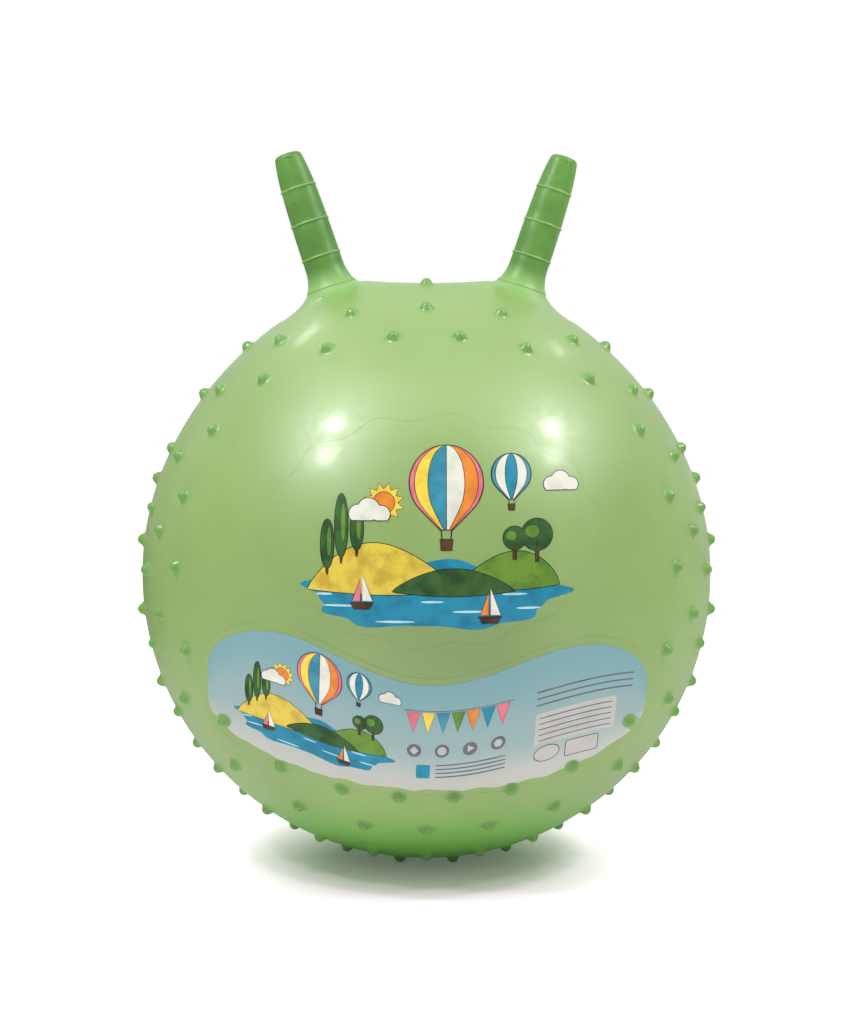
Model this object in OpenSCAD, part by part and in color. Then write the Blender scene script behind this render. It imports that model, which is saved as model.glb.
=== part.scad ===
// Hopper ball: a blown-up soft PVC ball with moulded nubs and two bendy grip horns.
// Z = 0 is the floor under the middle of the ball, +X runs across the horns
// and -Y faces the printed front.

/* [Ball] */
// Diameter of the ball's smooth skin
ball_d = 450; // [350:1:600]
// Thickness of the ball's skin
skin_wall = 1; // [0.8:0.1:2]

/* [Nubs] */
// Width of a nub where it leaves the skin
nub_d = 9.2; // [7:0.1:12]
// Height of a nub above the skin
nub_h = 5.4; // [4:0.1:8]
// Radius of a nub's rounded tip
nub_tip_r = 2.5; // [1.5:0.1:3]
// Number of nubs in each row round the smooth window, from the inside out
row_counts = [22, 22, 28, 28]; // [8:1:40]
// Angle that the middle of the window is tipped up
window_tilt = 6.5; // [5:0.5:8]
// Angles from the window's middle to the rows, straight up or down
row_up_angles = [48.5, 59.5, 75.5, 89]; // [40:0.5:92]
// Angles from the window's middle to the rows, sideways
row_side_angles = [55.5, 64, 72, 81]; // [40:0.5:92]
// Angle by which the nubs of the lower half draw together
row_bunch_angle = 5; // [0:0.5:8]
// Least bare skin between a nub and the flare of a horn
nub_horn_gap = 12; // [6:1:30]
// Least bare skin between a nub and the mould's parting line
nub_parting_gap = 3; // [1:0.5:6]
// Depth that the floor presses the lowest nubs flat
floor_flat = 0.4; // [0.2:0.1:1]

/* [Horns] */
// Angle that a horn leans out from upright
horn_lean = 18.4; // [15:0.1:28]
// Length of a horn above the skin
horn_l = 122; // [90:1:150]
// Diameter of a horn at its lowest ring
horn_d = 30.6; // [24:0.1:38]
// Wall of a horn
horn_wall = 2.4; // [1.5:0.1:3]
// Radius of the hollow flare where a horn runs into the ball
flare_r = 38; // [28:1:46]
// Height of the seam round the foot of a horn, above the skin
seam_h = 13.5; // [9:0.5:18]
// Height of the lowest ring above the skin
ring_h = 39; // [34:0.5:46]
// Number of rings round a horn
ring_count = 3; // [2:1:5]
// Radius of the bead that makes a ring
bead_r = 0.8; // [0.4:0.1:1.5]
// Radius of the fine bead on the seam
seam_bead_r = 0.4; // [0.2:0.1:0.8]
// Length of the grip below its lowest ring
grip_lip = 3; // [1.5:0.5:6]
// Radius of the barrel curve along the grip's side
barrel_r = 1100; // [600:10:3000]
// Radius of the rounder curve above the top ring
nose_r = 180; // [120:5:400]
// Radius of the edge round the tip
tip_edge_r = 4; // [3.2:0.1:6]

/* [Valve] */
// Diameter of the plug's stem under its head
stem_d = 8; // [6:0.1:10]
// Diameter of the stem at its inner end
stem_end_d = 7; // [4:0.1:7.5]
// Length of the stem
stem_l = 16; // [12:0.5:22]
// Diameter of the plug's head
head_d = 13; // [12:0.1:18]
// Thickness of the plug's head
head_t = 2; // [1.2:0.1:3]
// Diameter of the round notch that a nail lifts the plug by
notch_d = 5; // [3:0.1:7]
// Depth of that notch in from the head's edge
notch_deep = 1.4; // [0.5:0.1:2.2]
// Clearance of the plug in its seat
plug_gap = 0.05; // [0.03:0.01:0.1]
// Wall of the seat round the head
seat_wall = 2; // [1.2:0.1:3]
// Height of the seat's rim above the skin
rim_h = 1.2; // [0.6:0.1:2]
// Length of the seat's neck inside the skin
neck_l = 14; // [10:0.5:20]
// Diameter of the flange inside the skin
flange_d = 36; // [26:1:50]
// Thickness of that flange
flange_t = 2; // [1:0.1:3]
// Clearance round the seat, which the weld fills
weld_gap = 0.1; // [0.05:0.01:0.2]

/* [Films] */
// Thickness of the adhesive under a film
glue_t = 0.1; // [0.05:0.01:0.2]
// Thickness of the label film
label_t = 0.2; // [0.1:0.01:0.4]
// Thickness of the print film
print_t = 0.1; // [0.06:0.01:0.2]
// Clearance of the label's notch round a nub that it meets
label_nub_gap = 0.4; // [0.2:0.1:1]
// Half of the label's width
label_half_w = 162; // [120:1:170]
// Depth of the middle of the label's top edge below the ball's middle
label_top = 63; // [50:1:80]
// Depth of the middle of the label's bottom edge below the ball's middle
label_bottom = 144.5; // [120:1:146]
// Rise of the two lobes above the middle of the top edge
label_lobe_h = 36; // [20:1:45]
// Rise of the bottom edge towards the ends
label_end_h = 29; // [15:1:45]
// Turn of the label, clockwise from the front
label_turn = 2.5; // [0:0.5:4]
// Distance of the label's and print's middle to the right of the ball's middle
film_shift = 4; // [-10:1:12]
// Half of the print film's width
print_half_w = 119; // [80:1:130]
// Half of the print film's height
print_half_h = 80; // [50:1:84]
// Height of the print film's middle above the ball's middle
print_up = 46; // [30:1:60]
// Height of the shallow scallops round the print film's edge
scallop_h = 3; // [0:0.5:6]
// Number of those scallops
scallop_count = 14; // [6:1:30]

/* [Hidden] */
$fn = 96;
NUB_FN = 24;

ball_r = ball_d / 2;
// Length by which a cut runs past the face that it cuts
overrun = skin_wall;
BALL_GREEN = "#93c069";
HORN_GREEN = "#5f9a45";
PLUG_WHITE = "#f2f1ea";
LABEL_BLUE = "#bfe0ea";
PRINT_TINT = "#7fb8cf";

// Horn, in its own frame: the ball's middle is the origin and the axis is +Z
horn_r = horn_d / 2;
tip_z = ball_r + horn_l;
seam_z = ball_r + seam_h;
ring_z = ball_r + ring_h;
ring_step = (horn_l - ring_h) / ring_count;
top_ring_z = tip_z - ring_step;
grip_z = ring_z - grip_lip;
// The flare's circle bites this far into the skin, so that the two surfaces cross
flare_bite = skin_wall / 3;
flare_x = horn_r + flare_r;
flare_z = sqrt(pow(ball_r + flare_r - flare_bite, 2) - pow(flare_x, 2));
flare_reach = flare_x * ball_r / (ball_r + flare_r);
root_foot_z = sqrt(pow(ball_r, 2) - pow(flare_reach, 2)) - flare_r / 2;
barrel_x = horn_r - barrel_r;
top_ring_r = barrel_x + sqrt(pow(barrel_r, 2) - pow(top_ring_z - ring_z, 2));
seam_r = flare_x - sqrt(pow(flare_r, 2) - pow(flare_z - seam_z, 2));
nose_share = nose_r / barrel_r;
nose_x = top_ring_r + (barrel_x - top_ring_r) * nose_share;
nose_z = top_ring_z + (ring_z - top_ring_z) * nose_share;

// Directions of the nubs from the ball's middle, in rounded rows round the front window.
// A row that starts on a half step has a gap, and no nub, straight up and straight down.
ROW_SQUARENESS = 2.55;
row_half_steps = [1, 0, 0, 1];
function row_angle(row, clock) =
    let (up_share = pow(abs(cos(clock)) / row_up_angles[row], ROW_SQUARENESS))
    let (side_share = pow(abs(sin(clock)) / row_side_angles[row], ROW_SQUARENESS))
    pow(up_share + side_share, -1 / ROW_SQUARENESS);
function bunched(clock) = cos(clock) < 0 ? clock - row_bunch_angle * sin(2 * clock) : clock;
function on_window(angle, clock) =
    let (out = cos(angle), rise = sin(angle) * cos(clock))
    [sin(angle) * sin(clock),
     rise * sin(window_tilt) - out * cos(window_tilt),
     out * sin(window_tilt) + rise * cos(window_tilt)];
horn_dirs = [for (side = [-1, 1]) [side * sin(horn_lean), 0, cos(horn_lean)]];
nub_room = flare_reach + nub_horn_gap + nub_d / 2;
function clear_of_horns(dir) = max([for (horn = horn_dirs) dir * horn]) < cos(nub_room / ball_r * 180 / PI);
function clear_of_parting(dir) = -dir[1] * ball_r > nub_parting_gap + nub_d / 2;
function row_nubs(row) = [
    for (i = [0 : row_counts[row] - 1])
    let (clock = bunched((i + row_half_steps[row] / 2) * 360 / row_counts[row]))
    let (dir = on_window(row_angle(row, clock), clock))
    if (clear_of_horns(dir) && clear_of_parting(dir)) dir
];
front_nubs = [for (row = [0 : len(row_counts) - 1]) each row_nubs(row)];
nubs = [for (dir = front_nubs, face = [1, -1]) [dir[0], face * dir[1], dir[2]]];

// A nub is a cone that runs smoothly into its round tip
tip_ball_h = nub_h - nub_tip_r;
tip_ball_z = ball_r + tip_ball_h;
nub_foot_z = ball_r - skin_wall / 2;
nub_slope = atan2(nub_d / 2, tip_ball_h) - asin(nub_tip_r / norm([nub_d / 2, tip_ball_h]));
nub_shoulder_r = nub_tip_r * cos(nub_slope);
nub_shoulder_z = tip_ball_z + nub_tip_r * sin(nub_slope);

// The ball stands on its lowest nubs, or on its skin where they are too short to lift it
lowest_nub = min([for (dir = nubs) dir[2]]);
ball_z = max(-lowest_nub * tip_ball_z + nub_tip_r - floor_flat, ball_r);

// Valve, in the same kind of frame as the horn
seat_r = head_d / 2 + plug_gap + seat_wall;
rim_z = ball_r + rim_h;
recess_z = rim_z - head_t - plug_gap;
bore_r = stem_d / 2 + plug_gap;
flange_top_r = ball_r - skin_wall - weld_gap;

// Outline of the label from the front: a rounded bar bent into two lobes and a deep middle
LABEL_SQUARENESS = 4;
LABEL_STEPS = 30;
lobe_place_share = 0.8;
function label_edge_top(share) = label_lobe_h * pow(sin(90 * share / lobe_place_share), 2) - label_top;
function label_edge_bottom(share) = label_end_h * pow(share, 2) - label_bottom;
function label_point(share, side) =
    let (top = label_edge_top(share), bottom = label_edge_bottom(share))
    let (fullness_share = pow(1 - pow(share, LABEL_SQUARENESS), 1 / LABEL_SQUARENESS))
    [label_half_w * share, (top + bottom) / 2 + side * fullness_share * (top - bottom) / 2];
// Places along the label from -1 at its left end to 1 at its right end, closer together at both
function label_share(step) = sin(90 * sin(90 * step / LABEL_STEPS));
label_outline = [
    for (i = [-LABEL_STEPS : LABEL_STEPS - 1]) label_point(label_share(i), 1),
    for (i = [LABEL_STEPS : -1 : 1 - LABEL_STEPS]) label_point(label_share(i), -1)
];

// Outline of the print film from the front: an oval with shallow scallops
PRINT_STEPS = 84;
function print_point(turn) =
    let (wave = scallop_h * sin(scallop_count * turn))
    [(print_half_w + wave) * cos(turn), (print_half_h + wave) * sin(turn)];
print_outline = [for (i = [0 : PRINT_STEPS - 1]) print_point(i * 360 / PRINT_STEPS)];

// Moves children from the ball's middle to its place above the floor
module at_ball() {
    translate([0, 0, ball_z]) children();
}

// Turns +Z towards a direction from the ball's middle
module towards(dir) {
    rotate([0, acos(dir[2]), atan2(dir[1], dir[0])]) children();
}

// Solid area of a horn's flare, from inside the ball up to a height
module flare_area(inset, low, high) {
    difference() {
        translate([0, low]) square([flare_reach, min(high, flare_z) - low]);
        translate([flare_x, flare_z]) circle(r = flare_r + inset);
    }
    if (high > flare_z) {
        translate([0, flare_z]) square([horn_r - inset, high - flare_z]);
    }
}

// Solid area of a grip, from a height up to its rounded tip
module grip_area(inset, low) {
    edge_r = tip_edge_r - inset;
    edge_z = tip_z - tip_edge_r;
    edge_x = nose_x + sqrt(pow(nose_r - tip_edge_r, 2) - pow(edge_z - nose_z, 2));
    touch_z = nose_z + (edge_z - nose_z) * (nose_r - inset) / (nose_r - tip_edge_r);
    intersection() {
        translate([barrel_x, ring_z]) circle(r = barrel_r - inset, $fn = 720);
        translate([0, low]) square([horn_d, top_ring_z - low]);
    }
    intersection() {
        translate([nose_x, nose_z]) circle(r = nose_r - inset, $fn = 360);
        translate([0, top_ring_z]) square([horn_d, touch_z - top_ring_z]);
    }
    translate([0, top_ring_z]) square([edge_x, edge_z + edge_r - top_ring_z]);
    translate([edge_x, edge_z]) circle(r = edge_r);
}

module nub() {
    rotate_extrude($fn = NUB_FN) {
        intersection() {
            translate([0, tip_ball_z]) circle(r = nub_tip_r);
            translate([0, tip_ball_z]) square([nub_tip_r, nub_tip_r]);
        }
        polygon([[0, nub_foot_z], [nub_d / 2, nub_foot_z], [nub_d / 2, ball_r],
                 [nub_shoulder_r, nub_shoulder_z], [0, nub_shoulder_z]]);
    }
}

// Skin of the ball with its nubs and the feet of both horns
module ball_shell() {
    color(BALL_GREEN) difference() {
        at_ball() {
            sphere(r = ball_r);
            for (dir = horn_dirs) towards(dir) rotate_extrude() flare_area(0, root_foot_z, seam_z);
            for (dir = nubs) towards(dir) nub();
        }
        at_ball() {
            sphere(r = ball_r - skin_wall);
            for (dir = horn_dirs) {
                towards(dir) rotate_extrude() flare_area(horn_wall, root_foot_z, seam_z + overrun);
            }
            towards([0, 1, 0]) cylinder(r = seat_r + weld_gap, h = rim_z);
        }
        translate([-ball_r, -ball_r, -ball_r]) cube([ball_d, ball_d, ball_r]);
    }
}

// Bendy root of a horn, from the seam up to the grip
module horn_root(dir) {
    color(HORN_GREEN) at_ball() towards(dir) rotate_extrude() {
        difference() {
            flare_area(0, seam_z, grip_z);
            flare_area(horn_wall, seam_z - overrun, grip_z + overrun);
        }
        translate([seam_r, seam_z + seam_bead_r]) circle(r = seam_bead_r, $fn = NUB_FN);
    }
}

// Hollow grip of a horn with its rings and closed tip
module horn_grip(dir) {
    color(HORN_GREEN) at_ball() towards(dir) rotate_extrude() {
        difference() {
            union() {
                grip_area(0, grip_z);
                for (i = [0 : ring_count - 1]) {
                    z = ring_z + i * ring_step;
                    r = barrel_x + sqrt(pow(barrel_r, 2) - pow(z - ring_z, 2));
                    translate([r, z]) circle(r = bead_r);
                }
            }
            grip_area(horn_wall, grip_z - overrun);
        }
    }
}

module horn_root_left() { horn_root(horn_dirs[0]); }
module horn_root_right() { horn_root(horn_dirs[1]); }
module horn_grip_left() { horn_grip(horn_dirs[0]); }
module horn_grip_right() { horn_grip(horn_dirs[1]); }

// Flanged seat of the valve, welded into the back of the skin
module valve_seat() {
    color(BALL_GREEN) at_ball() towards([0, 1, 0]) difference() {
        union() {
            translate([0, 0, ball_r - neck_l]) cylinder(r = seat_r, h = neck_l + rim_h);
            intersection() {
                difference() {
                    sphere(r = flange_top_r);
                    sphere(r = flange_top_r - flange_t);
                }
                cylinder(r = flange_d / 2, h = ball_r);
            }
        }
        cylinder(r = bore_r, h = rim_z + overrun);
        translate([0, 0, recess_z]) cylinder(r = head_d / 2 + plug_gap, h = head_t + overrun);
    }
}

// Stopper with a tapered stem and a flat head
module valve_plug() {
    color(PLUG_WHITE) at_ball() towards([0, 1, 0]) difference() {
        union() {
            translate([0, 0, rim_z - head_t]) cylinder(r = head_d / 2, h = head_t);
            translate([0, 0, rim_z - head_t - stem_l]) {
                cylinder(r1 = stem_end_d / 2, r2 = stem_d / 2, h = stem_l);
            }
        }
        translate([head_d / 2 + notch_d / 2 - notch_deep, 0, rim_z - head_t - overrun]) {
            cylinder(r = notch_d / 2, h = head_t + overrun * 2, $fn = NUB_FN);
        }
    }
}

// Thin film that follows the skin inside the area of its children, seen from the front
module film(thickness) {
    intersection() {
        difference() {
            sphere(r = ball_r + glue_t + thickness);
            sphere(r = ball_r + glue_t);
        }
        rotate([90, 0, 0]) linear_extrude(height = ball_d) children();
    }
}

// Notch that leaves a nub free, from the nub out past the label's edge, seen from the front
module label_notch(dir) {
    notch_r = nub_d / 2 + label_nub_gap;
    translate([dir[0], dir[2]] * ball_r) rotate(atan2(dir[2], dir[0])) {
        circle(r = notch_r, $fn = NUB_FN);
        translate([0, -notch_r]) square([label_half_w, notch_r * 2]);
    }
}

module label_film() {
    color(LABEL_BLUE) at_ball() film(label_t) difference() {
        translate([film_shift, 0]) rotate(-label_turn) polygon(label_outline);
        for (dir = row_nubs(0)) {
            if (dir[2] < 0) {
                label_notch(dir);
            }
        }
    }
}

module print_film() {
    color(PRINT_TINT) at_ball() film(print_t) {
        translate([film_shift, print_up]) polygon(print_outline);
    }
}

ball_shell();
horn_root_left();
horn_root_right();
horn_grip_left();
horn_grip_right();
valve_seat();
valve_plug();
label_film();
print_film();
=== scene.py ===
import math

import bpy
from mathutils import Matrix, Vector


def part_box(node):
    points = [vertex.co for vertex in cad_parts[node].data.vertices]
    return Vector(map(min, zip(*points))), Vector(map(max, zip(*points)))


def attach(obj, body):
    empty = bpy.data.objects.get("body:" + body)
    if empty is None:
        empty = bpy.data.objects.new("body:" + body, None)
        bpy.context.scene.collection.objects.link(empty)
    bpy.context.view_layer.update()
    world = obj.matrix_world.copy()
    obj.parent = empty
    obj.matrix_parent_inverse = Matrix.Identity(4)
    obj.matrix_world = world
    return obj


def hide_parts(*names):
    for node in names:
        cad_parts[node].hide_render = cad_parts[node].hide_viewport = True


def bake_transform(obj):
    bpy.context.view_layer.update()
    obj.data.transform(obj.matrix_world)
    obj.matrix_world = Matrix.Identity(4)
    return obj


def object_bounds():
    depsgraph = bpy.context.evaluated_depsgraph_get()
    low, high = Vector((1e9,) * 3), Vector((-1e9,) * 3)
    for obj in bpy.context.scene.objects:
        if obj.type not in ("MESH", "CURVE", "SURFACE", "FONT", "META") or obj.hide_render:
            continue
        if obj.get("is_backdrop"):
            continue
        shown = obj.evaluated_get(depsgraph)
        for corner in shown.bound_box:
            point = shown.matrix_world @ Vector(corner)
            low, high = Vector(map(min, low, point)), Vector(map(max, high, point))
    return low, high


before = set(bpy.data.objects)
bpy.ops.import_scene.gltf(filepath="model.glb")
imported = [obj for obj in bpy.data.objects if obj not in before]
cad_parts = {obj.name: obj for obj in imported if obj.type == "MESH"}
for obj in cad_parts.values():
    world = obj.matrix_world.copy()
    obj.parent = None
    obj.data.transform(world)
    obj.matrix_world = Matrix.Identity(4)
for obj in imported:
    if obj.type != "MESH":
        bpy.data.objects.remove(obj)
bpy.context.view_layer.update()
bpy.ops.object.select_all(action="DESELECT")

# Camera
# The photograph is taken from a little above the ball's middle, from about two metres away.
# The ball's middle and radius in its frame set the lens and the tilt.
mm = 0.001
photo_h = 1024
photo_middle_px = 512.0
ball_middle_px = 572.6
ball_r_px = 284.0
camera_rise = math.radians(4.5)
camera_far = 1800 * mm
sensor_w = 36

seat_low, seat_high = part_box("valve_seat")
ball_r = 225 * mm
ball_middle = Vector((0, 0, (seat_low.z + seat_high.z) / 2))

focal_px = ball_r_px * math.sqrt((camera_far / ball_r) ** 2 - 1)
back = Vector((0, -math.cos(camera_rise), math.sin(camera_rise)))
tilt = Matrix.Rotation(math.atan((ball_middle_px - photo_middle_px) / focal_px), 4, "X")
bpy.ops.object.camera_add(location=ball_middle + back * camera_far)
camera = bpy.context.object
camera.data.sensor_width = sensor_w
camera.data.lens = sensor_w * focal_px / photo_h
camera.rotation_euler = ((-back).to_track_quat("-Z", "Y").to_matrix().to_4x4() @ tilt).to_euler()
bpy.context.scene.camera = camera
bpy.context.scene.view_settings.view_transform = "Standard"

# Ball skin
# The ball is blown up from one rotationally moulded piece of soft PVC, about a millimetre thick.
# A pearl pigment gives it a milky sheen. It runs up into a collar under each horn, as far as a seam.
skin_wall = 1 * mm
ball_segments = 256
ball_rings = 128
horn_lean = math.radians(18.4)
horn_r = 15.3 * mm
flare_r = 38 * mm
flare_bite = skin_wall / 3
seam_h = 13.5 * mm
flare_steps = 10
saddle_h = 5 * mm
saddle_rim = 2.7 * mm
saddle_half_w = 56 * mm
saddle_half_d = 85 * mm
saddle_end = 1.12
saddle_fade = 0.32
shoulder_h = 11 * mm
shoulder_rise = 32 * mm
shoulder_reach = 160 * mm
parting_snap = 0.1 * mm
weld_gap = 0.01 * mm
valve_hole_r = 8.65 * mm
drill_l = 60 * mm
drill_segments = 64

flare_x = horn_r + flare_r
flare_z = math.sqrt((ball_r + flare_r - flare_bite) ** 2 - flare_x ** 2)
seam_z = ball_r + seam_h
seam_turn = math.asin((flare_z - seam_z) / flare_r)
foot_turn = math.atan2(flare_z, flare_x)
seam_r = flare_x - flare_r * math.cos(seam_turn)
horn_axis_right = Vector((math.sin(horn_lean), 0, math.cos(horn_lean)))
horn_axis_left = Vector((-math.sin(horn_lean), 0, math.cos(horn_lean)))


def flare_ring(turn):
    """(radius, height) on the hollow curve under a horn, from its middle height down by a turn."""
    return flare_x - flare_r * math.cos(turn), flare_z - flare_r * math.sin(turn)


def extrude_rings(start, rings, middle, axis):
    """Extrudes the selected ring along an axis, through rings of (radius, height)."""
    radius, height = start
    for next_radius, next_height in rings:
        step = axis * (next_height - height)
        bpy.ops.mesh.extrude_region_move(TRANSFORM_OT_translate={"value": step})
        share = next_radius / radius
        bpy.ops.transform.resize(value=(share, share, share), center_override=middle + axis * next_height)
        radius, height = next_radius, next_height


def apply_modifier(piece, kind, **settings):
    """Adds a modifier to a piece and applies it."""
    modifier = piece.modifiers.new(kind.title(), kind)
    for name, value in settings.items():
        setattr(modifier, name, value)
    bpy.context.view_layer.objects.active = piece
    bpy.ops.object.modifier_apply(modifier=modifier.name)


def pick(*pieces):
    """Selects only these pieces, with the first one active."""
    bpy.ops.object.select_all(action="DESELECT")
    for piece in pieces:
        piece.select_set(True)
    bpy.context.view_layer.objects.active = pieces[0]


def cut_away(piece, tool):
    """Cuts a tool out of a piece, removes the tool and leaves the piece selected."""
    apply_modifier(piece, "BOOLEAN", operation="DIFFERENCE", object=tool)
    bpy.data.objects.remove(tool)
    pick(piece)


def eased(share):
    """A smooth step from 0 to 1."""
    share = min(max(share, 0), 1)
    return share * share * (3 - 2 * share)


def skin_rise(point):
    """How far the horns pull the skin up: a shoulder round each one and a shallow saddle between them."""
    away = Vector((abs(point.x), point.y, point.z - ball_middle.z))
    if away.z <= 0:
        return Vector()
    from_axis = away.cross(horn_axis_right).length
    start = min(max((from_axis - seam_r) / shoulder_rise, 0), 1)
    shoulder = shoulder_h * max(1 - from_axis / shoulder_reach, 0) ** 2 * (1 - (1 - start) ** 2)
    rise = (point - ball_middle).normalized() * shoulder
    along = away.x / saddle_half_w
    depth = min(abs(away.y), saddle_half_d)
    saddle_z = saddle_h + saddle_rim * along ** 2 + math.sqrt(ball_r ** 2 - depth ** 2)
    share = eased((saddle_end - along) / saddle_fade) * (1 - (depth / saddle_half_d) ** 2) ** 2
    return rise + Vector((0, 0, max(saddle_z - away.z - rise.z, 0) * share))


bpy.ops.mesh.primitive_uv_sphere_add(
    segments=ball_segments, ring_count=ball_rings, radius=ball_r,
    location=ball_middle, rotation=(0, -horn_lean, 0)
)
skin = bpy.context.object
skin.name = "ball_skin"
bpy.ops.object.transform_apply()
ring_turn = math.pi / ball_rings
foot_angle = math.pi / 2 - foot_turn
foot_ring_angle = math.ceil(foot_angle / ring_turn) * ring_turn
bpy.ops.object.mode_set(mode="EDIT")
bpy.ops.mesh.select_all(action="DESELECT")
bpy.ops.object.mode_set(mode="OBJECT")
for vertex in skin.data.vertices:
    vertex.select = (vertex.co - ball_middle).angle(horn_axis_left) < foot_ring_angle - ring_turn / 2
bpy.ops.object.mode_set(mode="EDIT")
bpy.ops.mesh.delete(type="VERT")
bpy.ops.mesh.select_mode(type="EDGE")
bpy.ops.mesh.select_non_manifold()
foot_ring = (ball_r * math.sin(foot_ring_angle), ball_r * math.cos(foot_ring_angle))
collar = [
    flare_ring(foot_turn + (seam_turn - foot_turn) * i / flare_steps) for i in range(flare_steps + 1)
]
extrude_rings(foot_ring, collar, ball_middle, horn_axis_left)
bpy.ops.mesh.select_all(action="SELECT")
bpy.ops.mesh.bisect(plane_co=(0, 0, 0), plane_no=(1, 0, 0), clear_outer=True)
bpy.ops.object.mode_set(mode="OBJECT")
for vertex in skin.data.vertices:
    if abs(vertex.co.x) < parting_snap:
        vertex.co.x = 0
apply_modifier(skin, "MIRROR", merge_threshold=weld_gap)
for vertex in skin.data.vertices:
    vertex.co += skin_rise(vertex.co)
bpy.ops.object.mode_set(mode="EDIT")
bpy.ops.mesh.select_all(action="SELECT")
bpy.ops.mesh.normals_make_consistent(inside=False)
bpy.ops.object.mode_set(mode="OBJECT")
apply_modifier(skin, "SOLIDIFY", thickness=skin_wall, offset=-1)

bpy.ops.mesh.primitive_cylinder_add(
    vertices=drill_segments, radius=valve_hole_r, depth=drill_l,
    location=ball_middle + Vector((0, ball_r, 0)), rotation=(math.pi / 2, 0, 0)
)
cut_away(skin, bpy.context.object)
bpy.ops.object.mode_set(mode="EDIT")
bpy.ops.mesh.select_all(action="SELECT")
bpy.ops.mesh.remove_doubles(threshold=weld_gap)
bpy.ops.object.mode_set(mode="OBJECT")
bpy.ops.object.shade_smooth_by_angle(angle=math.radians(40))

pearl_light = (0.252, 0.418, 0.100, 1)
pearl_deep = (0.213, 0.371, 0.075, 1)
collar_green = (0.21, 0.44, 0.10, 1)
# Painted shade and bounce light: the deeper, more saturated green that the skin takes towards the bottom.
painted_underside_green = (0.155, 0.62, 0.035, 1)
nub_green = (0.138, 0.345, 0.058, 1)
skin_shine = 1.0
nub_shine = 0.55
skin_haze = 0.16
nub_haze = 0.07
painted_underside_top = 80 * mm
painted_underside_low = 6 * mm
collar_start = 1 * mm
skin_grain_h = 0.2 * mm


def blank_finish(name):
    """Starts a material and returns it with its node tree, its shader and the piece's own coordinates."""
    material = bpy.data.materials.new(name)
    material.use_nodes = True
    tree = material.node_tree
    place = tree.nodes.new("ShaderNodeTexCoord").outputs["Object"]
    return material, tree, tree.nodes["Principled BSDF"], place


def mixed(tree, share, first, second):
    """Adds a colour mix and returns its output."""
    mix = tree.nodes.new("ShaderNodeMix")
    mix.data_type = "RGBA"
    tree.links.new(share, mix.inputs["Factor"])
    for socket, colour in ((mix.inputs["A"], first), (mix.inputs["B"], second)):
        if isinstance(colour, tuple):
            socket.default_value = colour
        else:
            tree.links.new(colour, socket)
    return mix.outputs["Result"]


def noise(tree, place, scale, detail):
    """Adds a noise on the piece's own coordinates and returns its value."""
    texture = tree.nodes.new("ShaderNodeTexNoise")
    texture.inputs["Scale"].default_value = scale
    texture.inputs["Detail"].default_value = detail
    tree.links.new(place, texture.inputs["Vector"])
    return texture.outputs["Fac"]


def ranged(tree, value, low, high, to_low=0.0, to_high=1.0):
    """Adds a smooth map range and returns its output."""
    mapped = tree.nodes.new("ShaderNodeMapRange")
    mapped.interpolation_type = "SMOOTHSTEP"
    tree.links.new(value, mapped.inputs["Value"])
    for name, number in (("From Min", low), ("From Max", high), ("To Min", to_low), ("To Max", to_high)):
        mapped.inputs[name].default_value = number
    return mapped.outputs["Result"]


def bumped(tree, height, strength, distance):
    """Adds a bump and returns its normal."""
    bump = tree.nodes.new("ShaderNodeBump")
    bump.inputs["Strength"].default_value = strength
    bump.inputs["Distance"].default_value = distance
    tree.links.new(height, bump.inputs["Height"])
    return bump.outputs["Normal"]


def reckoned(tree, operation, *terms, kind="Math", output="Value"):
    """Adds a calculation on other nodes' outputs and plain numbers, and returns its output."""
    node = tree.nodes.new("ShaderNode" + kind)
    node.operation = operation
    for socket, term in zip(node.inputs, terms):
        if isinstance(term, bpy.types.NodeSocket):
            tree.links.new(term, socket)
        else:
            socket.default_value = term
    return node.outputs[output]


def carried(tree, name):
    """Adds a value that the mesh carries at its points and returns its output."""
    value = tree.nodes.new("ShaderNodeAttribute")
    value.attribute_name = name
    return value.outputs["Fac"]


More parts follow.
